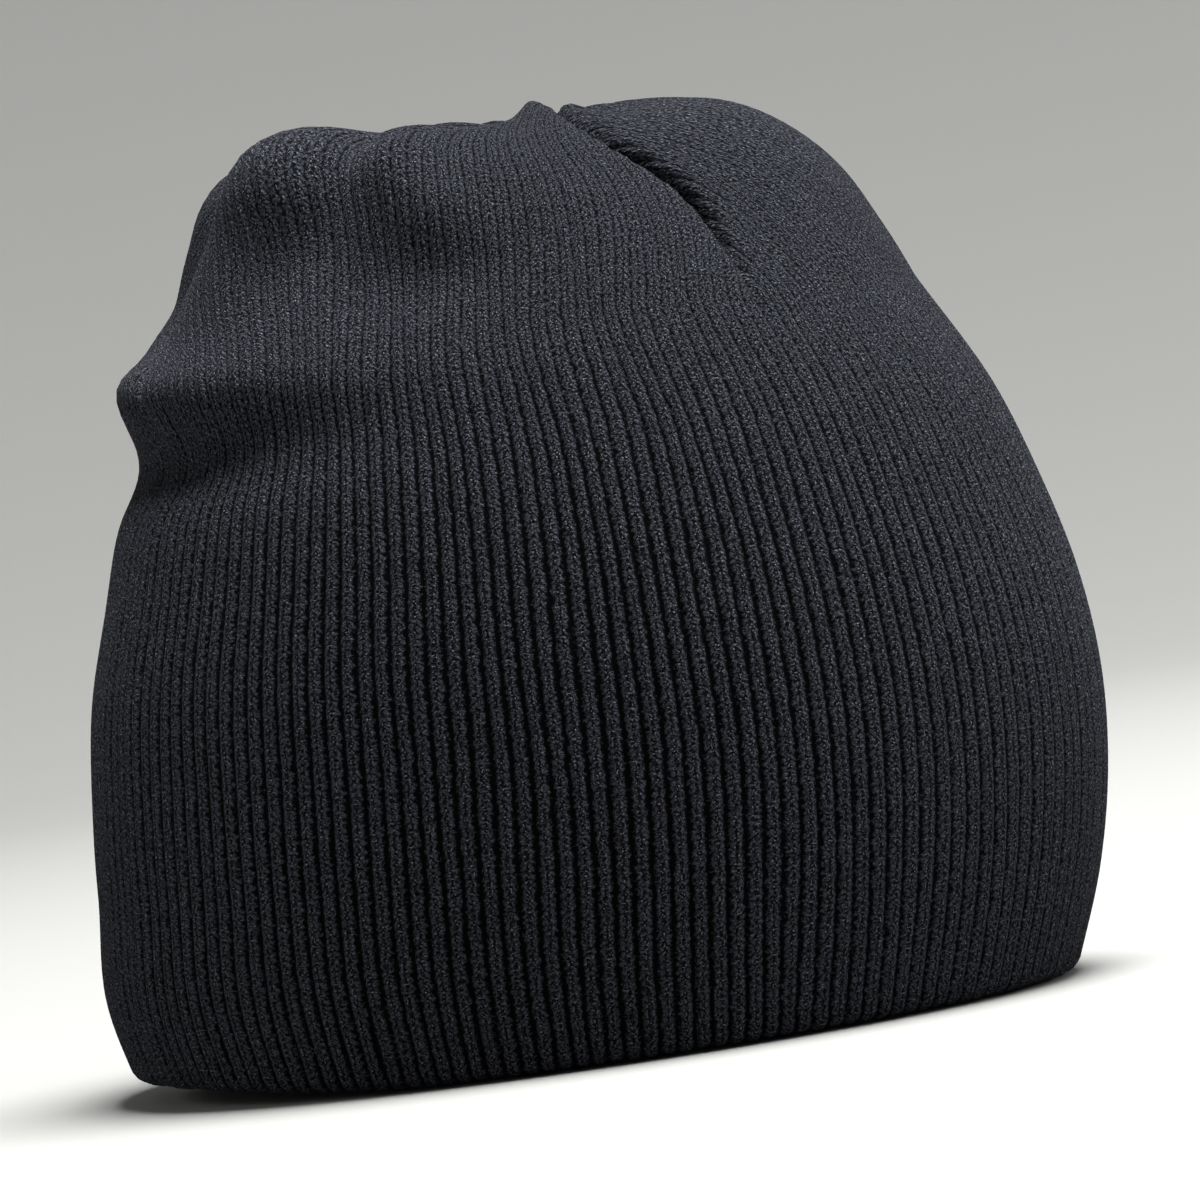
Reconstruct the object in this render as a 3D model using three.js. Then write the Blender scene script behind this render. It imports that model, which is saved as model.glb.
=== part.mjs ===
// Knit beanie, worn shape, in millimetres. +Z is up through the crown, the forehead faces -Y,
// and the origin is the middle of the hem opening. One long rib-knit tube is folded at the hem
// into an outer layer and a lining. Each layer is closed by three darts that meet at the crown.
import * as THREE from "three";

// One entry per level, about 20 mm of knitting apart, from the hem (level 0) to the crown centre.
const RISE = [0, 20, 40, 60.5, 81, 101, 120, 138, 154, 168, 179, 184, 184.5]; // height
const LEAN = [4, 5, 7, 8.5, 9, 9.5, 9, 7, 6.5, 5.5, 4, 9, 17]; // how far the ring's middle is forward
const REACH = [94.5, 101, 103.5, 103.5, 101, 95.5, 89.5, 82, 73, 63.5, 49, 27, 0]; // half length
const SPREAD = [77, 81.5, 83.5, 83.5, 82, 78.5, 73.5, 67.5, 59.5, 50.5, 38.5, 21, 0]; // half width
const LEVEL_GAP = 18; // mm of knitting between two levels, on average
const TOP = RISE.length - 1; // level of the crown centre
const EGG = 0.08; // the head is this much narrower in front and wider behind

const DARTS = [-48, 90, -150]; // degrees round from the front, towards +X, each on a facet edge
const DART_NAMES = ["front_right", "left", "back_right"]; // as the wearer has them
const DART_END = 7.3; // level where the darts begin
const DART_DEPTH = 9;
const DART_WIDTH = 6.5;
const PUFF = 4; // how far the cloth swells between two darts
const PUFF_WIDTH = 20;

// Soft folds: [degrees round, level, half width across, half width along, height].
const FOLDS = [
  [-152, 7.15, 42, 7, 4], // roll of slack cloth low behind the crown
  [-147, 6.4, 46, 8, -5], // crease under that roll
  [-100, 8.3, 26, 15, -5], // hollow above it
  [-125, 9.7, 16, 13, 7], // rear shoulder of the crown
  [-104, 11, 9, 9, -4], // saddle
  [-20, 9.8, 26, 14, 2.5], // front shoulder
  [-62, 11, 11, 11, 3], // crest beside the crown centre
];
const FOLD_FADE = 11.3; // folds die out from this level to 0.7 above it

const KNIT = 1.9; // thickness of one layer
const GAP = 0.35; // clearance between neighbouring pieces
const FOLD_TOP = 0.45; // level where the turned edge ends
const LINING_DEPTH = KNIT + GAP; // depth of the lining's outer face below the crown
const CROWN_DEPTH = 9.5; // the same at the crown, where the seam allowances need room
const CROWN_SPREAD = 4.5; // level where the lining begins to hang clear
const FOLD_ROUND = 0.9; // how far the turned edge is rounded, across
const FOLD_RISE = 0.06; // the same upwards, in levels
const AROUND = 60; // facets round the hat

const SEAM_WIDTH = 3.4; // raw seam allowance, across
const SEAM_HEIGHT = 2.4;
const SEAM_LIFT = 1.4; // clearance over the lining, whose facets bridge the bottom of each dart
const SEAM_START = 7.5; // level
const SEAM_STOP = 11.55;
const TACK_RADIUS = 1.1;
const TACK_CLEAR = 1.1; // clearance over the lining, which rises beside its centre

const LABEL_WIDTH = 26;
const LABEL_DROP = 38;
const LABEL_THICK = 0.6;
const LABEL_TOP = 66; // height of its sewn edge
const LABEL_Y = 88; // its outer face, just inside the lining at the centre back
const THREAD = 0.25; // radius of the label's sewing thread
const STITCH_Y = LABEL_Y + 0.68; // the thread lies between the label and the lining
const STITCH_WAVE = 0.1;
const STITCH_INSET = 3; // from each end of the label's top edge

const YARN = 0x1b1c20;

// The Catmull-Rom value of one list of levels.
function along(values, level) {
  const curve = new THREE.SplineCurve(values.map((v, i) => new THREE.Vector2(i, v)));
  return curve.getPoint(THREE.MathUtils.clamp(level / TOP, 0, 1)).y;
}

// The smooth body before darts and folds.
function body(angle, level) {
  const x = along(SPREAD, level) * Math.sin(angle) * (1 - EGG * Math.cos(angle));
  const y = -(along(LEAN, level) + along(REACH, level) * Math.cos(angle));
  return new THREE.Vector3(x, y, along(RISE, level));
}

// Outward direction of the body. It turns level at the hem, so that the bottom edge is flat.
function outward(angle, level) {
  const step = 1e-3;
  if (level > TOP - step) return new THREE.Vector3(0, 0, 1);
  const across = body(angle + step, level).sub(body(angle - step, level));
  const up = body(angle, level + step).sub(body(angle, Math.max(level - step, 0)));
  const normal = across.cross(up);
  normal.z *= THREE.MathUtils.smoothstep(level, 0, 0.8);
  return normal.normalize();
}

function turnBetween(angle, degrees) {
  const turn = angle - THREE.MathUtils.degToRad(degrees);
  return Math.abs(THREE.MathUtils.euclideanModulo(turn + Math.PI, 2 * Math.PI) - Math.PI);
}

// Height of darts, puffs and soft folds over the body.
function relief(angle, level) {
  const radius = (along(REACH, level) + along(SPREAD, level)) / 2;
  const t = THREE.MathUtils.clamp((level - DART_END) / (TOP - DART_END), 0, 1);
  const away = Math.min(...DARTS.map((dart) => turnBetween(angle, dart))) * radius;
  const puff = PUFF * Math.sin(Math.PI * t) * (1 - Math.exp(-((away / PUFF_WIDTH) ** 2)));
  const depth = DART_DEPTH * THREE.MathUtils.smoothstep(t, 0, 0.35) * (1 - 0.45 * t);
  const valley = depth * Math.exp(-((away / DART_WIDTH) ** 2));
  const fade = 1 - THREE.MathUtils.smoothstep(level, FOLD_FADE, FOLD_FADE + 0.7);
  let height = puff - valley;
  for (const [degrees, at, wide, tall, rise] of FOLDS) {
    const across = (turnBetween(angle, degrees) * radius) / wide;
    const up = ((level - at) * LEVEL_GAP) / tall;
    height += rise * fade * Math.exp(-(across * across) - up * up);
  }
  return height;
}

// A point of the cloth: depth 0 is the outside of the hat.
function cloth(angle, level, depth) {
  const offset = relief(angle, level) - depth;
  return body(angle, level).add(outward(angle, level).multiplyScalar(offset));
}

// Depth of the lining's outer face: it hangs clear of the outer crown.
function liningDepth(level) {
  const share = THREE.MathUtils.smoothstep(level, CROWN_SPREAD, DART_END);
  return LINING_DEPTH + (CROWN_DEPTH - LINING_DEPTH) * share;
}

function piece(name, geometry, color, roughness) {
  geometry.computeVertexNormals();
  const mesh = new THREE.Mesh(geometry, new THREE.MeshStandardMaterial({ color, roughness, metalness: 0 }));
  mesh.name = name;
  return mesh;
}

// Turns an outline of [level, depth] pairs round the hat, on the cloth's own surface.
function turned(outline) {
  const flat = outline.map(([level, depth]) => new THREE.Vector2(TOP - level - depth, level));
  const geometry = new THREE.LatheGeometry(flat, AROUND);
  const position = geometry.attributes.position;
  for (let i = 0; i < position.count; i += 1) {
    const side = Math.floor(i / outline.length) % AROUND;
    const [level, depth] = outline[i % outline.length];
    const point = cloth((side / AROUND) * 2 * Math.PI, level, depth);
    position.setXYZ(i, point.x, point.y, point.z);
  }
  return geometry;
}

// Levels from the turned edge to the crown centre, closer together where the crown is folded.
const LEVELS = [FOLD_TOP + 0.02, 1, 2, 3, 4, 5, 5.7, 6.4, 7, 7.6, 8.3, 9, 9.7, 10.3, 10.9, 11.4, 11.75, TOP];

// A dome of even thickness, closed at the crown and open at the hem.
function dome(depthAt) {
  const outside = LEVELS.map((level) => [level, depthAt(level)]);
  const inside = LEVELS.map((level) => [level, depthAt(level) + KNIT]).reverse();
  return turned([...inside, ...outside]);
}

// The turned edge: a ring with a rounded bottom that is flat where it rests.
function turnedEdge() {
  const inner = LINING_DEPTH + KNIT;
  return turned([
    [0, FOLD_ROUND],
    [FOLD_RISE, 0],
    [FOLD_TOP, 0],
    [FOLD_TOP, inner],
    [FOLD_RISE, inner],
    [0, inner - FOLD_ROUND],
    [0, FOLD_ROUND],
  ]);
}

// Raw seam allowance along one dart, from depth to depth + SEAM_HEIGHT.
function allowance(degrees, depthAt) {
  const levels = LEVELS.filter((level) => level > SEAM_START && level < SEAM_STOP);
  const steps = levels.length - 1;
  const geometry = new THREE.BoxGeometry(1, 1, 1, 2, 1, steps);
  const position = geometry.attributes.position;
  for (let i = 0; i < position.count; i += 1) {
    const level = levels[Math.round((position.getZ(i) + 0.5) * steps)];
    const radius = (along(REACH, level) + along(SPREAD, level)) / 2;
    const angle = THREE.MathUtils.degToRad(degrees) + (position.getX(i) * SEAM_WIDTH) / radius;
    const point = cloth(angle, level, depthAt(level) + (position.getY(i) + 0.5) * SEAM_HEIGHT);
    position.setXYZ(i, point.x, point.y, point.z);
  }
  return geometry;
}

// The thread that ties the crown of the lining to the crown of the outer layer.
function crownTack() {
  const top = cloth(0, TOP, KNIT + GAP);
  const bottom = cloth(0, TOP, CROWN_DEPTH - TACK_CLEAR);
  const geometry = new THREE.CylinderGeometry(TACK_RADIUS, TACK_RADIUS, top.z - bottom.z, 10);
  geometry.rotateX(Math.PI / 2);
  geometry.translate(top.x, top.y, (top.z + bottom.z) / 2);
  return geometry;
}

function careLabel() {
  const geometry = new THREE.BoxGeometry(LABEL_WIDTH, LABEL_THICK, LABEL_DROP);
  geometry.translate(0, LABEL_Y - LABEL_THICK / 2, LABEL_TOP - LABEL_DROP / 2);
  return geometry;
}

// One thread runs in small waves behind the label's top edge and holds it to the lining, so the
// label can fold up past it.
function labelStitch() {
  const waves = 10;
  const points = [];
  for (let i = 0; i <= waves; i += 1) {
    const x = (i / waves - 0.5) * (LABEL_WIDTH - 2 * STITCH_INSET);
    const wave = i % 2 ? STITCH_WAVE : -STITCH_WAVE;
    points.push(new THREE.Vector3(x, STITCH_Y + wave, LABEL_TOP + THREAD + GAP));
  }
  const section = new THREE.Shape().absarc(0, 0, THREAD, 0, 2 * Math.PI);
  const extrudePath = new THREE.CatmullRomCurve3(points);
  return new THREE.ExtrudeGeometry(section, { extrudePath, steps: 40, curveSegments: 6, bevelEnabled: false });
}

const hat = new THREE.Group();
hat.name = "knit_beanie";
hat.add(piece("outer_shell", dome(() => 0), YARN, 0.95));
hat.add(piece("hem_fold", turnedEdge(), YARN, 0.95));
hat.add(piece("lining", dome(liningDepth), YARN, 0.95));

DARTS.forEach((degrees, i) => {
  const outer = allowance(degrees, () => KNIT + GAP);
  const inner = allowance(degrees, (level) => liningDepth(level) - SEAM_LIFT - SEAM_HEIGHT);
  hat.add(piece(`outer_seam_${DART_NAMES[i]}`, outer, YARN, 0.9));
  hat.add(piece(`lining_seam_${DART_NAMES[i]}`, inner, YARN, 0.9));
});

hat.add(piece("crown_tack", crownTack(), YARN, 0.8));
hat.add(piece("care_label", careLabel(), 0xe9e8e4, 0.6));
hat.add(piece("label_stitch", labelStitch(), 0xd8d7d2, 0.7));

export default hat;
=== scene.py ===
# %% [markdown]
# # A rib-knit beanie in Blender
#
# The hat is one long knitted tube. It is folded at the hem, so that half of it is the outside and
# half is the lining, and each half is closed at the crown by three darts. Every stitch column (a
# wale) runs from the hem to the place where a dart cuts it off. So this lesson starts from flat
# grids whose columns are the wales, and wraps them into the worn shape.

# %% Load the frame
import math

import bmesh
import bpy
import numpy as np
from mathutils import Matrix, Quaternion, Vector


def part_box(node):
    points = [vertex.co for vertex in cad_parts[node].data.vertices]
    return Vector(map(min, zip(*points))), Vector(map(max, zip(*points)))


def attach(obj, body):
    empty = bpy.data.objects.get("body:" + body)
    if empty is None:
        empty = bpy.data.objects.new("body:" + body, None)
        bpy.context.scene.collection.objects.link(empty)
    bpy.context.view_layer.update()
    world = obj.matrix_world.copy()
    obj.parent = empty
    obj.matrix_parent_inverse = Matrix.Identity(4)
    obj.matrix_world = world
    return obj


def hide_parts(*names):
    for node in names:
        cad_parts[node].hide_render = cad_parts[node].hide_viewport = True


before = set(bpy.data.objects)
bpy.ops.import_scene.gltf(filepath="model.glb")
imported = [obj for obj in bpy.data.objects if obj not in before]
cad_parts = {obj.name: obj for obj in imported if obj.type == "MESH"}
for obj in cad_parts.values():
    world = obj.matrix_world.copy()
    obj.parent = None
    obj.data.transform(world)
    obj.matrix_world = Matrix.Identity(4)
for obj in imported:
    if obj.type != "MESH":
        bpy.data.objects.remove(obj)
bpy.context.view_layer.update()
MM = 0.001

# %% [markdown]
# ## The shape of the worn hat
#
# The outside is a stack of egg-shaped rings, about 20 mm of knitting apart. A Catmull-Rom curve
# through each list gives a smooth body, the same one that the CAD solids follow. Darts, the puffs
# of cloth between them and the soft folds are heights over that body, so one function places any
# point of any layer: angle round the head, level up the cloth, depth into the layers.

# %% The rings
# Lengths are in millimetres and angles in degrees. Angle 0 is the forehead, and the left ear is
# at 90. A level is a ring's number: 0 at the hem, 12 at the middle of the crown.
RISE = [0, 20, 40, 60.5, 81, 101, 120, 138, 154, 168, 179, 184, 184.5]
LEAN = [4, 5, 7, 8.5, 9, 9.5, 9, 7, 6.5, 5.5, 4, 9, 17]  # how far forward a ring's centre is
REACH = [94.5, 101, 103.5, 103.5, 101, 95.5, 89.5, 82, 73, 63.5, 49, 27, 0]  # half its length
SPREAD = [77, 81.5, 83.5, 83.5, 82, 78.5, 73.5, 67.5, 59.5, 50.5, 38.5, 21, 0]  # half its width
LEVEL_GAP = 18.0  # cloth between two levels
TOP = len(RISE) - 1
EGG = 0.08  # how much narrower the forehead is than the back of the head
BACK_LIFT, BACK_FLARE, BACK_FROM = 4.0, 3.7, 0.25  # the hem rises and stands off at the nape
print(len(RISE), "rings up to", RISE[-1], "mm")

# %% [markdown]
# Each dart is a sewn valley. On the outside it is tight and narrow. On the lining it is wider and
# deeper, because the bulk of the seam allowances lies between the layers. A soft fold is a smooth
# bump or hollow: its angle and level, how wide and how tall it is, and how far it stands out.

# %% The darts and the soft folds
DARTS = [-150.0, -48.0, 90.0]
DART_END = 7.3
SEWN_DART = (3.6, 1.6)  # depth and half width
LOOSE_DART = (9.0, 6.5)
BACK_LEAN, FRONT_LEAN, LEAN_REACH = -11.0, -13.0, 28.0
OVERLAP = (2.6, 1.6)  # the cloth before the back dart stands up, the cloth behind it lies lower
PUFF, PUFF_WIDTH = 4.0, 20.0  # the cloth swells between two darts
GATHERS, GATHER_HEIGHT = 17, 0.9  # small pleats where everything meets at the crown
FOLD_FADE = 11.3  # folds die out above this level
FOLDS = [
    # the roll behind the right ear, and the crease that it hangs over
    (-152, 7.15, 42, 7, 4.0),
    (-165, 7.3, 18, 5, 1.5),
    (-147, 6.4, 46, 8, -5.0),
    # both sides of the back right dart
    (-165, 8.3, 20, 8, -2.6),
    (-168, 8.8, 15, 10, -4.0),
    (-163, 9.3, 8, 17, -2.0),
    (-172, 8.9, 12, 14, 3.4),
    (-170, 8.0, 6, 14, 1.2),
    (-178, 10.0, 14, 11, 4.2),
    (-150, 9.0, 2.4, 26, -2.8),
    (-146, 9.2, 7, 22, -2.6),
    (-137, 10.3, 14, 11, 1.8),
    # the lump over the right ear, then the valley and the ridge in front of it
    (-125, 9.7, 16, 13, 7.0),
    (-128, 10.1, 8, 9, 1.6),
    (-110, 10.2, 5, 10, -2.8),
    (-113, 9.4, 6, 10, -2.8),
    (-118, 8.8, 9, 9, -2.2),
    (-101, 9.7, 5, 9, 2.8),
    (-95, 9.0, 6, 9, 2.6),
    (-89, 8.6, 8, 8, 1.2),
    (-100, 8.3, 26, 15, -5.0),
    (-104, 11.0, 9, 9, -4.0),
    (-97, 10.9, 13, 8, -2.5),
    # the front, and the left of the crown
    (-62, 11.0, 11, 11, 3.0),
    (-56, 10.5, 4.5, 15, 1.6),
    (-20, 9.8, 26, 14, 2.5),
    (16, 9.9, 22, 12, -1.8),
    (124, 10.9, 22, 9, 3.2),
]

KNIT = 1.9  # thickness of one layer
HEM_LEVEL = 0.45  # where the turned hem takes over from the two layers
LINING_DEPTH, CROWN_DEPTH = 2.25, 9.5  # the lining hangs looser at the crown
print(len(DARTS), "darts and", len(FOLDS), "soft folds")

# %% [markdown]
# The ring stack is a surface over angle and level. Every later function works on whole arrays of
# points, so that a grid of 100,000 vertices is placed in one go.

# %% The ring stack
def along(values, level):
    """The Catmull-Rom value of one list of levels."""
    p = np.array([2 * values[0] - values[1], *values, 2 * values[-1] - values[-2]], float)
    level = np.clip(level, 0, TOP)
    i = np.minimum(np.floor(level).astype(int), TOP - 1)
    t = level - i
    a, b, c, d = p[i], p[i + 1], p[i + 2], p[i + 3]
    return 0.5 * (2 * b + (c - a) * t + (2 * a - 5 * b + 4 * c - d) * t**2 + (3 * b - a - 3 * c + d) * t**3)


def smooth(t):
    """0 up to 0, 1 from 1 on, and an S curve between."""
    t = np.clip(t, 0, 1)
    return t * t * (3 - 2 * t)


def turn_from(angle, degrees):
    """The turn from a direction to an angle, the short way round."""
    return (angle - math.radians(degrees) + np.pi) % (2 * np.pi) - np.pi


def leaned(angle, level):
    """Two outer darts aren't straight: one bows backwards half way up, the other leans to the right
    ear at the crown. The cloth beside them goes along, less and less."""
    bow = smooth((level - 6.8) / 1.6) * (1 - smooth((level - 10) / 1.4))
    high = smooth((level - 8.2) / 2.8)
    for degrees, turn, share in ((DARTS[0], BACK_LEAN, bow), (DARTS[1], FRONT_LEAN, high)):
        near = np.exp(-((np.degrees(turn_from(angle, degrees)) / LEAN_REACH) ** 2))
        angle = angle + math.radians(turn) * near * share
    return angle


def body(angle, level, lean=True):
    """The smooth ring stack. The lining's darts don't lean."""
    angle = leaned(angle, level) if lean else angle
    x = along(SPREAD, level) * np.sin(angle) * (1 - EGG * np.cos(angle))
    y = -(along(LEAN, level) + along(REACH, level) * np.cos(angle))
    behind = smooth((-np.cos(angle) - BACK_FROM) / (1 - BACK_FROM))
    lift = BACK_LIFT * behind * (1 - smooth(level / 3))
    flare = BACK_FLARE * behind * (1 - smooth(level / 2.2))
    return np.stack([x, y + flare, along(RISE, level) + lift], -1)


def unit(v, fallback):
    """Vectors of length 1. Where a vector has no length, the fallback."""
    size = np.linalg.norm(v, axis=-1, keepdims=True)
    return np.where(size > 1e-9, v / np.maximum(size, 1e-12), np.array(fallback))


def outward(angle, level, lean):
    """Direction away from the head. At the hem it is level."""
    step = 1e-3
    across = body(angle + step, level, lean) - body(angle - step, level, lean)
    up = body(angle, np.minimum(level + step, TOP), lean) - body(angle, np.maximum(level - step, 0), lean)
    normal = np.cross(across, up)
    normal[..., 2] *= smooth(level / 0.8)
    return unit(normal, (0.0, 0.0, 1.0))


def ring_radius(level):
    """Mean radius of a ring, which turns an angle into a length of cloth."""
    return (along(REACH, level) + along(SPREAD, level)) / 2


# %% [markdown]
# The relief is one height over that surface, and a layer is the surface moved outwards by it. The
# height counts t from 0 at the lower end of the darts to 1 at the crown, because the darts get
# deep soon and shallow again where the cloth is gathered.

# %% The relief, and any point of any layer
def from_dart(angle, level):
    """How far along the cloth the nearest dart is, in mm."""
    return np.min([abs(turn_from(angle, d)) for d in DARTS], axis=0) * ring_radius(level)


def relief(angle, level, dart):
    """Height of darts, puffs and soft folds over the body. A dart is its depth and half width."""
    t = np.clip((level - DART_END) / (TOP - DART_END), 0, 1)
    away = from_dart(angle, level)
    puff = PUFF * np.sin(np.pi * t) * (1 - np.exp(-((away / PUFF_WIDTH) ** 2)))
    depth = dart[0] * smooth(t / 0.35) * (1 - 0.45 * t)
    height = puff - depth * np.exp(-((away / dart[1]) ** 2))
    fade = 1 - smooth((level - FOLD_FADE) / (TOP - FOLD_FADE))
    for degrees, at, wide, tall, rise in FOLDS:
        across = turn_from(angle, degrees) * ring_radius(level) / wide
        up = (level - at) * LEVEL_GAP / tall
        height = height + rise * fade * np.exp(-(across**2) - up**2)
    return height + overlap(angle, level, t) + gathers(angle, level)


def overlap(angle, level, t):
    """The step at the back dart, where the cloth before it lies over the cloth behind it."""
    side = turn_from(angle, DARTS[0]) * ring_radius(level)
    step = np.where(side > 0, *OVERLAP) * np.tanh(side / 1.1) * np.exp(-((side / 13) ** 2))
    return step * smooth(t / 0.25) * smooth((1 - t) / 0.25)


def gathers(angle, level):
    """Small pleats in a ring round the crown's middle."""
    share = smooth((level - 10.3) / 0.9) * smooth((TOP - level) / 0.35)
    return GATHER_HEIGHT * share * np.cos(GATHERS * angle)


def cloth(angle, level, depth, dart=SEWN_DART):
    """A point of a layer, this deep below the outside of the hat."""
    lean = dart is SEWN_DART
    offset = relief(angle, level, dart) - depth
    return body(angle, level, lean) + outward(angle, level, lean) * offset[..., None]


def lining_depth(level):
    """The lining lies close below the darts and hangs loose inside the crown."""
    return LINING_DEPTH + (CROWN_DEPTH - LINING_DEPTH) * smooth((level - 4.5) / (DART_END - 4.5))


crown = cloth(np.zeros(1), np.full(1, float(TOP)), 0.0)[0]
print("middle of the crown", [round(float(c), 1) for c in crown], "mm")

# %% [markdown]
# ## The knitted tube before it is worn
#
# A 1 by 1 rib has one raised wale beside one sunk wale. Worn, a rib is about 3.6 mm wide, which
# makes 160 ribs round a 58 cm hat. The three darts share them out by the length of each stretch.
# A dart cuts the same number of wales off its two sides, so the cut edges match when they are
# sewn. Here the cut is one rule for all darts: the ribs that stay are the ones that still fit
# round the narrower ring.

# %% Share the ribs out between the darts
RIBS = 160
STEPS_ROUND = 720
GIRTH_LEVEL = 4.0


def gore_table():
    """For each stretch between two darts: its angles at even lengths, and its number of ribs."""
    spans = []
    for i, start in enumerate(DARTS):
        end = DARTS[i + 1] if i + 1 < len(DARTS) else DARTS[0] + 360
        angles = np.radians(np.linspace(start, end, STEPS_ROUND))
        points = body(angles, np.full(STEPS_ROUND, GIRTH_LEVEL))
        steps = np.linalg.norm(np.diff(points, axis=0), axis=1)
        spans.append((angles, np.concatenate([[0], np.cumsum(steps)])))
    total = sum(run[-1] for _, run in spans)
    ribs = [round(RIBS * run[-1] / total) for _, run in spans]
    ribs[-1] = RIBS - sum(ribs[:-1])
    return [(angles, run / run[-1], n) for (angles, run), n in zip(spans, ribs)], total


GORES, GIRTH = gore_table()
RIB_PITCH = GIRTH / RIBS
print("girth", round(GIRTH), "mm, ribs", [n for *_, n in GORES], "pitch", round(RIB_PITCH, 2), "mm")

# %% [markdown]
# Each column of the grid knows its gore and how far it is from the gore's middle. Above the dart's
# end the gore keeps only part of its width. A column past that width stops on the dart, at the
# level where the dart reached it, and everything above collapses there and is merged.

# %% Wrap a grid of columns and rows onto the head
LEFT_AT_CROWN = 4.5  # ribs that half of the narrowest gore still has at the crown
CUT_RIBS = min(n for *_, n in GORES) / 2 - LEFT_AT_CROWN


def ribs_cut(level):
    """How many ribs one side of a dart has cut off at a level."""
    left = ring_radius(np.maximum(level, DART_END)) / ring_radius(np.array(DART_END))
    return CUT_RIBS * (1 - left)


CUT_LEVELS = np.linspace(DART_END, TOP, 400)
CUT_TABLE = ribs_cut(CUT_LEVELS)


def gore_of(rib):
    """Gore number, and the rib's place from that gore's start."""
    starts = np.concatenate([[0], np.cumsum([n for *_, n in GORES])])
    gore = np.clip(np.searchsorted(starts, rib, side="right") - 1, 0, len(GORES) - 1)
    return gore, rib - starts[gore]


def wear(rib, level):
    """Angle and level on the head of a point of the tube."""
    gore, place = gore_of(rib)
    half = np.array([n for *_, n in GORES])[gore] / 2
    off = place - half
    stop = np.interp(half - abs(off), CUT_TABLE, CUT_LEVELS)
    level = np.minimum(level, stop)
    width = np.maximum(half - ribs_cut(level), 1e-6)
    share = np.clip((off / width + 1) / 2, 0, 1)
    angle = np.zeros_like(share)
    for i, (angles, run, _) in enumerate(GORES):
        mine = gore == i
        angle[mine] = np.interp(share[mine], run, angles)
    return angle, level


def sewn(angle, level, reach):
    """0 on the stitches of a dart, 1 from reach mm away and below the darts."""
    above = smooth((level - DART_END + 0.5) / 0.5)
    return 1 - above * (1 - smooth(from_dart(angle, level) / reach))


def stretched(angle, level):
    """How far the head pulls the ribs open, from 0 to 0.8: most at its two sides, below the
    crown."""
    side = np.sin(angle) ** 2
    below_crown = np.exp(-(((level - 2.9) / 3.6) ** 4))
    return below_crown * (0.35 + 0.45 * side) + (1 - below_crown) * 0.3 * side


# %% [markdown]
# Machine knitting is even but not perfect. The ribs wander a little from side to side, by slow
# waves that add up, and some ribs stand a little higher than others.

# %% Uneven knitting
rng = np.random.default_rng(4)
DRIFT = 0.07
CYCLES = rng.integers(7, 26, 6)
SPEEDS = rng.uniform(0.8, 2.6, 6)
STARTS = rng.uniform(0, 2 * np.pi, 6)
RIB_LIFT = rng.uniform(0.84, 1.08, RIBS)


def drift(rib, level):
    """How far a point of a rib has wandered sideways, in mm."""
    turns = 2 * np.pi * np.outer(rib, CYCLES) / RIBS + np.outer(level, SPEEDS) + STARTS
    return DRIFT * np.sin(turns).sum(axis=1)


def lay_rib(rib, level):
    """Angle and level of a point of the tube once worn. The sewn edges and the crown's middle
    don't drift."""
    angle, level = wear(rib, level)
    held = sewn(angle, level, 5.0) * smooth((TOP - level) / 1.0)
    return angle + held * drift(rib, level) / np.maximum(ring_radius(level), 4), level


def rib_height(column, per_rib, angle, level):
    """Height of the ridge: round, dented where the legs of each V meet, pinched at the darts.
    Where the ribs aren't stretched they close up, and hardly any groove is left."""
    shape = np.array(PROFILE[per_rib])[column % per_rib]
    open_share = CLOSED_SHARE + (1 - CLOSED_SHARE) * stretched(angle, level)
    lift = RIB_LIFT[(column // per_rib) % RIBS]
    height = RIB_HEIGHT * (1 - (1 - shape) * open_share) * lift
    return height * sewn(angle, level, 1.4) * smooth((TOP - level) / 0.5)


NEAR_SIDE = -80


def run_of_levels(step):
    """Levels at even lengths up the near side, from the hem to the crown."""
    fine = np.linspace(HEM_LEVEL, TOP, 600)
    side = body(np.full(600, math.radians(NEAR_SIDE)), fine)
    run = np.concatenate([[0], np.cumsum(np.linalg.norm(np.diff(side, axis=0), axis=1))])
    rows = int(round(run[-1] / step))
    return np.interp(np.linspace(0, run[-1], rows + 1), run, fine), run[-1]


# %% [markdown]
# ## From grid to cloth
#
# `bmesh.ops.create_grid` gives a flat grid with a UV map. Its columns and rows are read back from
# the flat places of its vertices, and each vertex moves to its place on the head. The side edges
# of the tube and the sewn dart edges fall together and are merged. The height of the rib is real
# geometry: a round ridge with a slight dent down the middle, where the two legs of each V meet.

# %% Rib sizes and a flat grid
RIB_HEIGHT = 1.2
RIB_SUNK = 0.7  # the grooves lie this far below the smooth body
CLOSED_SHARE = 0.12  # what is left of a groove where the ribs aren't stretched
COURSE = 1.5
# heights across a rib from groove to groove, for 6, 4 or 1 columns a rib
PROFILE = {6: [0, 0.45, 0.96, 0.84, 0.96, 0.45], 4: [0, 0.75, 0.9, 0.75], 1: [0.6]}


def grid(columns, rows):
    """A flat grid, and the column and row of each of its vertices."""
    bm = bmesh.new()
    bm.loops.layers.uv.new("knit")
    bmesh.ops.create_grid(bm, x_segments=columns, y_segments=rows, size=1.0, calc_uvs=True)
    flat = np.array([v.co[:2] for v in bm.verts])
    column = np.rint((flat[:, 0] + 1) / 2 * columns).astype(int)
    row = np.rint((flat[:, 1] + 1) / 2 * rows).astype(int)
    return bm, column, row


def scale_uv(bm, u, v):
    """Stretches the map, so that one unit across is a rib and one unit up is a course."""
    layer = bm.loops.layers.uv["knit"]
    for face in bm.faces:
        for loop in face.loops:
            loop[layer].uv = (loop[layer].uv[0] * u, loop[layer].uv[1] * v)


def place(bm, points):
    """Moves the vertices to points in millimetres."""
    for vert, point in zip(bm.verts, points):
        vert.co = Vector(point) * MM


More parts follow.
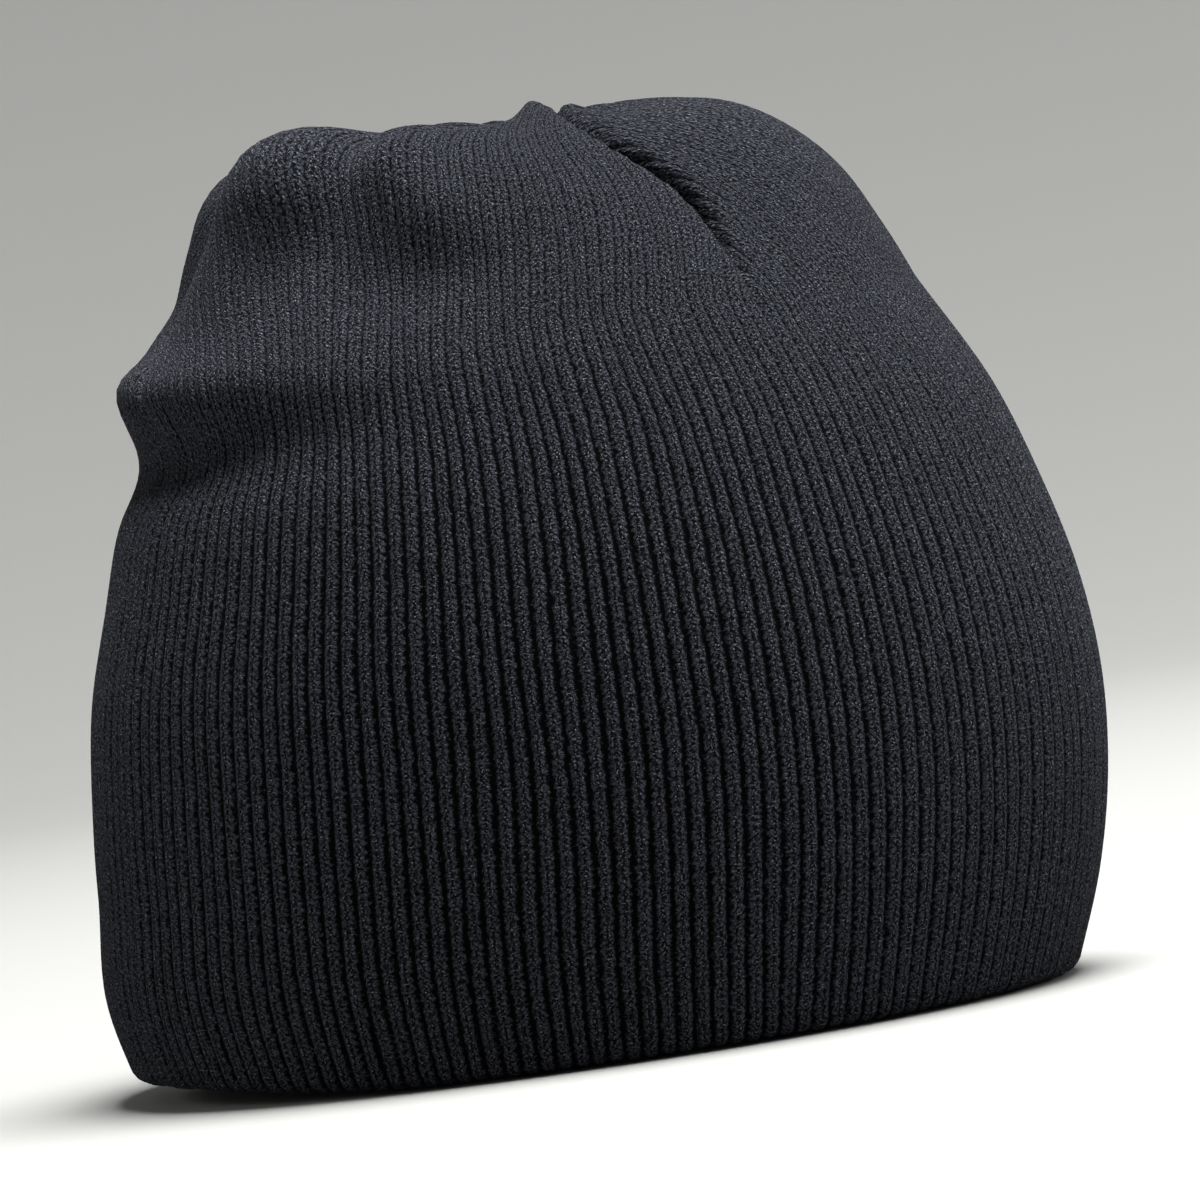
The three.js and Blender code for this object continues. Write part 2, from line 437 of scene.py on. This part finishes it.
def surface_normal(surface, angle, t):
    """Outward direction of surface(angle, t), by small steps."""
    step = 1e-3
    across = surface(angle + step, t) - surface(angle - step, t)
    up = surface(angle, t + step) - surface(angle, t - step)
    return unit(np.cross(across, up), (0.0, 0.0, 1.0))


def to_object(name, bm, material):
    """A finished piece with smooth shading and one material."""
    mesh = bpy.data.meshes.new(name)
    bm.to_mesh(mesh)
    bm.free()
    obj = bpy.data.objects.new(name, mesh)
    bpy.context.scene.collection.objects.link(obj)
    mesh.materials.append(material)
    mesh.polygons.foreach_set("use_smooth", [True] * len(mesh.polygons))
    triangles = sum(len(p.vertices) - 2 for p in mesh.polygons)
    print(name, triangles, "triangles")
    return obj


def note_stretch(bm, values):
    """Keeps the stretch on the vertices, for the knit material to read."""
    layer = bm.verts.layers.float.new("stretch")
    for vert, value in zip(bm.verts, values):
        vert[layer] = value


# %% [markdown]
# A dome is one face of a layer, from the hem to the crown. Its rows are at even lengths up the
# cloth, and its ridges stand out along the surface's own direction. At the very middle of the
# crown that direction can't be measured, so there it blends into straight up.

# %% One face of a layer
def knitted_dome(depth_at, per_rib, step, side, dart):
    """One face of a layer: side 1 stands out from the head, side -1 faces it."""
    levels, length = run_of_levels(step)
    columns, rows = RIBS * per_rib, len(levels) - 1
    bm, column, row = grid(columns, rows)
    scale_uv(bm, RIBS, length / COURSE)
    angle, level = lay_rib(column % columns / per_rib, levels[row])

    def surface(a, lv):
        return cloth(a, lv, depth_at(lv), dart)

    normal = surface_normal(surface, angle, np.minimum(level, TOP - 0.01))
    peak = smooth((level - TOP + 0.4) / 0.4)[:, None]
    normal = unit(normal * (1 - peak) + np.array([0, 0, 1.0]) * peak, (0.0, 0.0, 1.0))
    ridge = rib_height(column, per_rib, angle, level) - RIB_SUNK
    place(bm, surface(angle, level) + normal * ridge[:, None] * side)
    note_stretch(bm, stretched(angle, level))
    bmesh.ops.remove_doubles(bm, verts=bm.verts, dist=1e-6)
    bmesh.ops.dissolve_degenerate(bm, edges=bm.edges, dist=1e-7)
    return bm


# %% [markdown]
# A layer of knitting has two faces, and only one of them is ever seen up close. The other is made
# of far fewer faces. The two are joined into one bmesh and bridged along the hem, which leaves a
# closed solid with no torn edge.

# %% Close a layer
def join(bm, other):
    """Adds the faces of another bmesh, which is used up."""
    mesh = bpy.data.meshes.new("joined")
    other.to_mesh(mesh)
    other.free()
    bm.from_mesh(mesh)
    bpy.data.meshes.remove(mesh)


def close_rims(bm):
    """Bridges the two open edges of a layer. They stay sharp, so that neighbouring pieces look
    like one cloth."""
    rim = [e for e in bm.edges if e.is_boundary]
    bmesh.ops.bridge_loops(bm, edges=rim)
    for edge in rim:
        edge.smooth = False
    bmesh.ops.recalc_face_normals(bm, faces=bm.faces)
    torn = sum(not e.is_manifold for e in bm.edges)
    print("edges that don't join two faces:", torn, "volume", round(bm.calc_volume() * 1e6, 1), "cm3")


def two_faced(shown, hidden, cuts):
    """One closed layer from the fine face that shows and the coarse one that doesn't. The coarse
    rim is divided first, so that both rims have as many edges."""
    bmesh.ops.subdivide_edges(hidden, edges=[e for e in hidden.edges if e.is_boundary], cuts=cuts)
    join(shown, hidden)
    close_rims(shown)
    return shown


# %% [markdown]
# ## Colour and nodes
#
# Colours are written as sRGB hex, as a picker shows them, and one function makes them linear. One
# small function adds any node with its settings and its links.

# %% Colour and single nodes
def hex_colour(code):
    channels = [int(code[i : i + 2], 16) / 255 for i in (1, 3, 5)]
    return [c / 12.92 if c <= 0.04045 else ((c + 0.055) / 1.055) ** 2.4 for c in channels] + [1.0]


def node(tree, kind, settings=None, **inputs):
    """Adds one node. An input is a value, or the output socket that it is linked to."""
    new = tree.nodes.new("ShaderNode" + kind)
    for key, value in (settings or {}).items():
        setattr(new, key, value)
    for key, value in inputs.items():
        index = int(key[1:]) if key[0] == "i" and key[1:].isdigit() else key.replace("_", " ")
        if isinstance(value, bpy.types.NodeSocket):
            tree.links.new(value, new.inputs[index])
        else:
            new.inputs[index].default_value = value
    return new


def maths(tree, operation, *values):
    numbered = {f"i{i}": value for i, value in enumerate(values)}
    return node(tree, "Math", {"operation": operation}, **numbered).outputs[0]


# %% [markdown]
# All materials here share a few steps: a range is mapped onto another, shares are multiplied, two
# colours are mixed, and the result goes into the shader's colour, roughness and bumps.

# %% Common steps of a material
def ramp(tree, value, low, high, to_low=0.0, to_high=1.0):
    """Maps the range low to high onto another one, and stops at its ends."""
    ends = {"i1": low, "i2": high, "i3": to_low, "i4": to_high}
    return node(tree, "MapRange", Value=value, **ends).outputs["Result"]


def product(tree, *factors):
    result = factors[0]
    for factor in factors[1:]:
        result = maths(tree, "MULTIPLY", result, factor)
    return result


def blend(tree, amount, low, high):
    """Mixes two colours, each a hex code or a socket."""
    mix = node(tree, "Mix", {"data_type": "RGBA"}, Factor=amount)
    for socket, colour in ((mix.inputs[6], low), (mix.inputs[7], high)):
        if isinstance(colour, str):
            socket.default_value = hex_colour(colour)
        else:
            tree.links.new(colour, socket)
    return mix.outputs[2]


def new_material(name):
    material = bpy.data.materials.new(name)
    material.use_nodes = True
    tree = material.node_tree
    return material, tree, tree.nodes["Principled BSDF"]


def dress(tree, shader, colour, roughness, height, strength, depth):
    """Gives the shader its colour, its roughness and bumps that are depth metres deep."""
    bump = node(tree, "Bump", Height=height, Strength=strength, Distance=depth).outputs["Normal"]
    for name, socket in (("Base Color", colour), ("Roughness", roughness), ("Normal", bump)):
        tree.links.new(socket, shader.inputs[name])


# %% [markdown]
# ## Spun acrylic yarn, rib knitted
#
# Acrylic yarn is matt and a little fuzzy: it reflects about as much as any plastic (IOR 1.46), it
# is rough, and loose fibres catch light at grazing angles, which is sheen. Both shine and sheen are
# kept low, because light that they add to the grooves would hide the ribs. The stitches are drawn
# from the UV map, where one unit across is a rib and one unit up is a course. A real course is
# nearer 1 mm, and it is drawn 1.5 mm tall so that the V shows. The groove between ribs is widest
# where the "stretch" attribute says that the head pulls the ribs apart.

# %% Noise on the knitting
FIBRE = 0.55  # mm; real fibres are 0.02 mm, far too fine to show


def uv_noise(tree, uv, across, up, detail=2.0):
    """Noise with this many lumps a rib and a course, from 0 to 1."""
    spread = node(tree, "Mapping", Vector=uv, Scale=(across, up, 1.0)).outputs["Vector"]
    return node(tree, "TexNoise", Vector=spread, Scale=1.0, Detail=detail, Roughness=0.6).outputs["Fac"]


def shifted(tree, value, noise, amount):
    """A value moved up and down by a noise."""
    move = maths(tree, "MULTIPLY", maths(tree, "SUBTRACT", noise, 0.5), amount)
    return maths(tree, "ADD", value, move)


# %% [markdown]
# A point's distance from the middle of its rib says whether it is yarn or groove. Two noises bend
# that distance: a slow one makes the groove wander, a quick one makes its edge ragged, as fuzz
# does. The legs of the V are parted by gaps that slope up from the middle, once a course. Fine
# noise stands for the fibres and varies the tone at random. One height drives both the bumps and
# the colour: the grooves, the dent down each rib and the gaps between the legs are painted near
# black, which is painted shade for the shade that falls into these hollows. Pale specks on the rib
# tops are painted highlights: they stand for light glinting on loose fuzzy fibres.

# %% Knit material
GROOVE_WANDER, GROOVE_RAGGED = 0.34, 0.66  # in ribs
HALF_CLOSED, HALF_OPEN = 0.53, 0.27  # half of a rib's width, unstretched and stretched
LEG_SLOPE, LEG_WANDER = 2.2, 1.1  # in courses


def knit_material(name, groove_shade, yarn, fuzz, sheen):
    material, tree, shader = new_material(name)
    uv = node(tree, "UVMap", {"uv_map": "knit"}).outputs["UV"]
    part = node(tree, "SeparateXYZ", Vector=uv)
    stretch = node(tree, "Attribute", {"attribute_name": "stretch"}).outputs["Fac"]

    wavy = shifted(tree, part.outputs["X"], uv_noise(tree, uv, 1.5, 0.5), GROOVE_WANDER)
    across = maths(tree, "ABSOLUTE", maths(tree, "SUBTRACT", maths(tree, "FRACT", wavy), 0.5))
    ragged = shifted(tree, across, uv_noise(tree, uv, 4.5, 1.8), GROOVE_RAGGED)
    edge = ramp(tree, stretch, 0.0, 1.0, HALF_CLOSED, HALF_OPEN)
    rib = ramp(tree, maths(tree, "SUBTRACT", edge, ragged), -0.05, 0.11)
    dent = ramp(tree, ragged, 0.02, 0.15, 0.12, 1.0)

    rise = shifted(tree, part.outputs["Y"], uv_noise(tree, uv, 1.3, 0.5), LEG_WANDER)
    lean = maths(tree, "ADD", rise, maths(tree, "MULTIPLY", across, LEG_SLOPE))
    loop = maths(tree, "ABSOLUTE", maths(tree, "SINE", maths(tree, "MULTIPLY", lean, math.pi)))
    stitch = ramp(tree, loop, 0.1, 0.85, 0.3, 1.1)

    fine = uv_noise(tree, uv, RIB_PITCH / FIBRE, COURSE / FIBRE, 1.5)
    fibre = ramp(tree, fine, 0.38, 0.64, 0.1, 1.6)
    # painted shade: rib, dent and stitch fall to 0 in the grooves, down the dent of each rib and in the
    # gaps between the legs, and there the colour goes to the near black groove colour; fibre adds random
    # tone
    height = product(tree, rib, dent, stitch, fibre)
    # painted highlight: pale specks on the rib tops stand for light glinting on fuzzy fibres
    fuzz_glints = product(tree, ramp(tree, uv_noise(tree, uv, 9.0, 3.6, 0.0), 0.62, 0.8, 0.0, 0.8), rib)
    colour = blend(tree, fuzz_glints, blend(tree, height, groove_shade, yarn), fuzz)
    dress(tree, shader, colour, ramp(tree, fine, 0.3, 0.7, 0.82, 1.0), height, 0.9, 0.0005)
    shader.inputs["IOR"].default_value = 1.46
    shader.inputs["Specular IOR Level"].default_value = 0.03
    shader.inputs["Sheen Weight"].default_value = sheen
    shader.inputs["Sheen Roughness"].default_value = 0.5
    shader.inputs["Sheen Tint"].default_value = hex_colour("#c9ccd6")
    print(name, len(tree.nodes), "nodes")
    return material


# 010102 is painted shade in the grooves, dents and gaps, #6c6e76 is a painted highlight for glints on the
# fuzz, and #373940 is the yarn's own colour
knit = knit_material("black acrylic rib knit", "#010102", "#373940", "#6c6e76", 0.03)

# %% [markdown]
# ## The outer layer
#
# Six columns of vertices a rib are enough for a round ridge and its dent. The inner face is out of
# sight, so it is a coarser dome, and the two are bridged at the hem into one closed layer.

# %% Outer layer
def outer_depth(level):
    return np.zeros_like(level)


def inner_depth(level):
    return np.full_like(level, KNIT)


outer = two_faced(
    knitted_dome(outer_depth, 6, 2.12, 1, SEWN_DART),
    knitted_dome(inner_depth, 1, 6.0, -1, SEWN_DART),
    cuts=5,
)
outer_knit = to_object("outer_knit", outer, knit)

# %% [markdown]
# ## The lining
#
# The lining is the other half of the tube, so it is the same knitting. Only the face towards the
# head shows, through the opening, so the ribs stand on that side, with four columns each.

# %% Lining
def lining_face(level):
    return lining_depth(level) + KNIT


lining = two_faced(
    knitted_dome(lining_face, 4, 3.2, -1, LOOSE_DART),
    knitted_dome(lining_depth, 1, 8.0, 1, LOOSE_DART),
    cuts=3,
)
lining_knit = to_object("lining_knit", lining, knit)

# %% [markdown]
# ## The turned hem
#
# The tube turns inwards at the hem with no cuff and no stitching, so the ribs run round the fold.
# The section is half a circle between the two layers, with short straight stretches above. It
# stands on the tops of its own ridges, so the fold itself is a ridge's height over the floor.

# %% Turned hem
FOLD_RADIUS = (LINING_DEPTH + KNIT) / 2
HEM_RISE = along(RISE, np.array(HEM_LEVEL))
FOOT = RIB_HEIGHT * RIB_LIFT.max() - RIB_SUNK
HEM_COURSES = 14.0


def hem_surface(angle, t):
    """t runs from 0, outside, round the fold to 3, inside: straight, half circle, straight."""
    straight = HEM_RISE - FOLD_RADIUS - FOOT
    bend = np.clip(t - 1, 0, 1) * np.pi
    height = FOOT + FOLD_RADIUS * (1 - np.sin(bend))
    height = height + straight * np.clip(1 - t, 0, 2) + straight * np.clip(t - 2, 0, 2)
    depth = FOLD_RADIUS * (1 - np.cos(bend))
    return cloth(angle, height / RISE[1], depth)


def turned_hem():
    """The strip that joins the outer layer and the lining. Its two long edges are bridged too."""
    per_rib, rows = 6, 16
    columns = RIBS * per_rib
    bm, column, row = grid(columns, rows)
    scale_uv(bm, RIBS, HEM_COURSES)
    t = np.interp(row / rows, [0, 0.3, 0.7, 1], [0, 1, 2, 3])  # more rows go to the bend
    rest = np.full(len(column), HEM_LEVEL)
    angle, _ = lay_rib(column % columns / per_rib, rest)
    ridge = rib_height(column, per_rib, angle, rest) - RIB_SUNK
    normal = -surface_normal(hem_surface, angle, t)
    place(bm, hem_surface(angle, t) + normal * ridge[:, None])
    note_stretch(bm, stretched(angle, rest))
    bmesh.ops.remove_doubles(bm, verts=bm.verts, dist=1e-6)
    close_rims(bm)
    return bm


hem_knit = to_object("hem_knit", turned_hem(), knit)

# %% [markdown]
# ## The care label
#
# A strip of white woven satin tape, 26 by 38 mm, is sewn to the lining at the centre back by its
# top edge and hangs free. Its sewn end is folded over, so it is thicker there, it bows across its
# width, and its loose end curls a little towards the head. It stays blank.

# %% Care label
TAPE = 0.35
TAPE_FOLD, FOLDED_TAPE = 5.0, 1.8  # the folded end's length, and its thickness in tapes
TAPE_BOW, TAPE_CURL, TAPE_RIPPLE = 0.45, 2.4, 0.12


def care_label():
    """A thin slab bent into shape. Its flat side z becomes the direction towards the head."""
    low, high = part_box("care_label")
    wide, drop = (high.x - low.x) / MM, (high.z - low.z) / MM
    bm = bmesh.new()
    bmesh.ops.create_grid(bm, x_segments=26, y_segments=38, size=1.0)
    bmesh.ops.solidify(bm, geom=bm.faces[:], thickness=TAPE)
    front = max(v.co.z for v in bm.verts)
    for vert in bm.verts:
        across, down = vert.co.x, (1 - vert.co.y) / 2
        folded = smooth((TAPE_FOLD - down * drop) / 0.8)
        bow = TAPE_BOW * down * (1 - across**2) + TAPE_CURL * down**3
        ripple = TAPE_RIPPLE * down * math.sin(5 * across + 7 * down)
        thick = TAPE * (1 + (FOLDED_TAPE - 1) * folded) if vert.co.z > front - 0.01 else 0.0
        toward_head = high.y / MM - bow - ripple - thick
        vert.co = Vector((across * wide / 2, toward_head, high.z / MM - down * drop)) * MM
    bmesh.ops.recalc_face_normals(bm, faces=bm.faces)
    print("label volume", round(bm.calc_volume() * 1e9), "mm3")
    return bm


# %% [markdown]
# ## Satin, thread and raw edges
#
# The tape is woven polyester satin, smoother and glossier than the knit, with crossed threads. The
# sewing threads are twisted, which shows as slanting bands of light and shade. The cut edges of
# the darts are overlocked: loops of the same black yarn run over the raw knit. These pieces keep
# their CAD shapes, so the bands follow the object's own coordinates. Their real spacing is 0.2 to
# 1.5 mm, and it is drawn a little coarser so that it shows.

# %% Bands and clouds on the object's own coordinates
def own_place(tree):
    return node(tree, "TexCoord").outputs["Object"]


def bands(tree, direction, pitch, distortion=0.0):
    """Soft bands, pitch metres apart. A wave texture of scale 1 has a band every 2 pi / 20."""
    settings = {"bands_direction": direction}
    inputs = {"Vector": own_place(tree), "Scale": 2 * math.pi / (20 * pitch), "Distortion": distortion}
    return node(tree, "TexWave", settings, **inputs).outputs["Fac"]


def cloud(tree, lumps_a_metre, detail=2.0):
    inputs = {"Vector": own_place(tree), "Scale": lumps_a_metre, "Detail": detail}
    return node(tree, "TexNoise", **inputs).outputs["Fac"]


# %% Satin and thread materials
def satin_material():
    """Woven polyester satin. Its 0.2 mm threads are drawn 0.5 mm apart."""
    material, tree, shader = new_material("white woven satin tape")
    weave = product(tree, bands(tree, "X", 0.0005), bands(tree, "Z", 0.0005))
    cloth_colour = blend(tree, cloud(tree, 160.0), "#cfccc4", "#ece9e2")
    colour = blend(tree, ramp(tree, weave, 0.0, 1.0, 0.0, 0.35), cloth_colour, "#f6f4ee")
    dress(tree, shader, colour, ramp(tree, weave, 0.0, 1.0, 0.34, 0.55), weave, 0.35, 0.00012)
    shader.inputs["IOR"].default_value = 1.57
    shader.inputs["Sheen Weight"].default_value = 0.15
    shader.inputs["Sheen Roughness"].default_value = 0.35
    return material


def thread_material(name, dark, light, direction, pitch):
    """Twisted or looped thread: bands of light and shade where it turns."""
    material, tree, shader = new_material(name)
    turns = bands(tree, direction, pitch, 1.2)
    fuzz = cloud(tree, 1400.0, 3.0)
    amount = product(tree, turns, ramp(tree, fuzz, 0.3, 0.7, 0.4, 1.0))
    colour = blend(tree, amount, dark, light)
    dress(tree, shader, colour, ramp(tree, fuzz, 0.3, 0.7, 0.6, 0.9), turns, 0.8, 0.0003)
    shader.inputs["IOR"].default_value = 1.5
    return material


label_piece = to_object("care_label_tape", care_label(), satin_material())
white_thread = thread_material("white polyester sewing thread", "#a5a29a", "#e9e6de", "DIAGONAL", 0.0006)
overlock = thread_material("overlocked raw knit edge", "#0b0c0f", "#3a3c43", "DIAGONAL", 0.0025)
tack_thread = thread_material("black polyester tack thread", "#08080a", "#303238", "Z", 0.0008)


# %% Dress the CAD nodes that are carried over
def refinish(name, material):
    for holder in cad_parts[name].material_slots:
        holder.material = material
    print(name, "is", material.name)


refinish("label_stitch", white_thread)
refinish("crown_tack", tack_thread)
for layer_name in ("outer_seam", "lining_seam"):
    for dart_name in ("front_right", "left", "back_right"):
        refinish(f"{layer_name}_{dart_name}", overlock)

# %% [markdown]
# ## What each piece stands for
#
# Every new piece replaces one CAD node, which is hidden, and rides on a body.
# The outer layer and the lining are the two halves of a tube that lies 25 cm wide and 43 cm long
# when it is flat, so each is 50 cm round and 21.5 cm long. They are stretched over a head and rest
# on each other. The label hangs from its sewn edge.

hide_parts("outer_shell")
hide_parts("lining")
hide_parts("hem_fold")
for piece in (outer_knit, lining_knit, hem_knit):
    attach(piece, "hat")
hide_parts("care_label")
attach(label_piece, "label")

# %% [markdown]
# ## Floor
#
# The hat stands on a roll of pale paper. The paper is a wide shallow bowl: flat under the hat, and
# curved up all round like a studio backdrop, so that no horizon shows from any side. It is made
# from a circle whose edge is extruded ring by ring along a quarter of an arc.

# %% Floor
BOWL_FLAT, BOWL_CURVE, BOWL_RINGS = 1.6, 2.4, 24
FLOOR_GAP = 0.0004


def floor():
    """A pale paper floor that curves up all round, far away."""
    bm = bmesh.new()
    bmesh.ops.create_circle(bm, cap_ends=False, radius=BOWL_FLAT, segments=96)
    edges = bm.edges[:]
    bmesh.ops.holes_fill(bm, edges=edges)
    for i in range(1, BOWL_RINGS + 1):
        turn = math.pi / 2 * i / BOWL_RINGS
        ring = bmesh.ops.extrude_edge_only(bm, edges=edges)["geom"]
        edges = [e for e in ring if isinstance(e, bmesh.types.BMEdge)]
        reach = BOWL_FLAT + BOWL_CURVE * math.sin(turn)
        for vert in {v for e in edges for v in e.verts}:
            flat = Vector((vert.co.x, vert.co.y, 0)).normalized() * reach
            vert.co = (flat.x, flat.y, BOWL_CURVE * (1 - math.cos(turn)))
    bmesh.ops.recalc_face_normals(bm, faces=bm.faces)
    bmesh.ops.translate(bm, verts=bm.verts, vec=(0, 0, -FLOOR_GAP))
    material, _, shader = new_material("pale paper floor")
    shader.inputs["Base Color"].default_value = hex_colour("#8f8f8d")
    shader.inputs["Roughness"].default_value = 0.9
    to_object("floor", bm, material)


floor()

# %% [markdown]
# ## Light
#
# One wide softbox hangs over the hat, so that the crown is the brightest part and the sides fall
# off into the dark, where their ribs show as fine lines. A weak softbox lifts the forehead and a
# weaker one the back. The pale paper sends a little light back up, and a dim even sky fills the
# rest.

# %% Light
def area_light(name, place_at, aim, size, watts):
    data = bpy.data.lights.new(name, "AREA")
    data.shape = "DISK"
    data.size = size
    data.energy = watts
    obj = bpy.data.objects.new(name, data)
    bpy.context.scene.collection.objects.link(obj)
    obj.location = place_at
    obj.rotation_euler = (Vector(aim) - Vector(place_at)).to_track_quat("-Z", "Y").to_euler()
    print(name, watts, "W")


area_light("overhead softbox", (-0.05, -0.5, 2.6), (0, 0, 0.1), 1.4, 258)
area_light("front softbox", (-0.3, -2.5, 1.5), (0, 0, 0.1), 1.1, 22)
area_light("back softbox", (-0.2, 2.4, 1.3), (0, 0, 0.12), 0.9, 9)

world = bpy.data.worlds.new("soft studio")
bpy.context.scene.world = world
world.use_nodes = True
backdrop = world.node_tree.nodes["Background"]
backdrop.inputs["Color"].default_value = hex_colour("#e4e4e2")
backdrop.inputs["Strength"].default_value = 0.2
bpy.context.scene.view_settings.view_transform = "Standard"

# %% [markdown]
# ## Camera
#
# The camera stands off the right ear, a little towards the forehead. It is just higher than the
# crown, looks slightly down, and is tilted about its own axis, so that the hem climbs to the
# right. It is 1.3 m away, which is far enough to keep the hat's proportions.

# %% Camera
AZIMUTH, ELEVATION, ROLL = -80.0, 4.7, 8.3
DISTANCE = 1.3
FRAME_WIDTH = 0.2454  # what the picture spans at the hat's distance
AIM = Vector((0, -0.0135, 0.0875))


def make_camera():
    a, e, r = (math.radians(v) for v in (AZIMUTH, ELEVATION, ROLL))
    back = Vector((math.sin(a) * math.cos(e), -math.cos(a) * math.cos(e), math.sin(e)))
    data = bpy.data.cameras.new("camera")
    data.sensor_width = 36.0
    data.lens = data.sensor_width * DISTANCE / FRAME_WIDTH
    data.clip_start, data.clip_end = 0.05, 30
    cam = bpy.data.objects.new("camera", data)
    bpy.context.scene.collection.objects.link(cam)
    cam.location = back * DISTANCE
    cam.rotation_mode = "QUATERNION"
    look = (AIM - cam.location).to_track_quat("-Z", "Y")
    cam.rotation_quaternion = look @ Quaternion((0, 0, 1), -r)
    bpy.context.scene.camera = cam


make_camera()
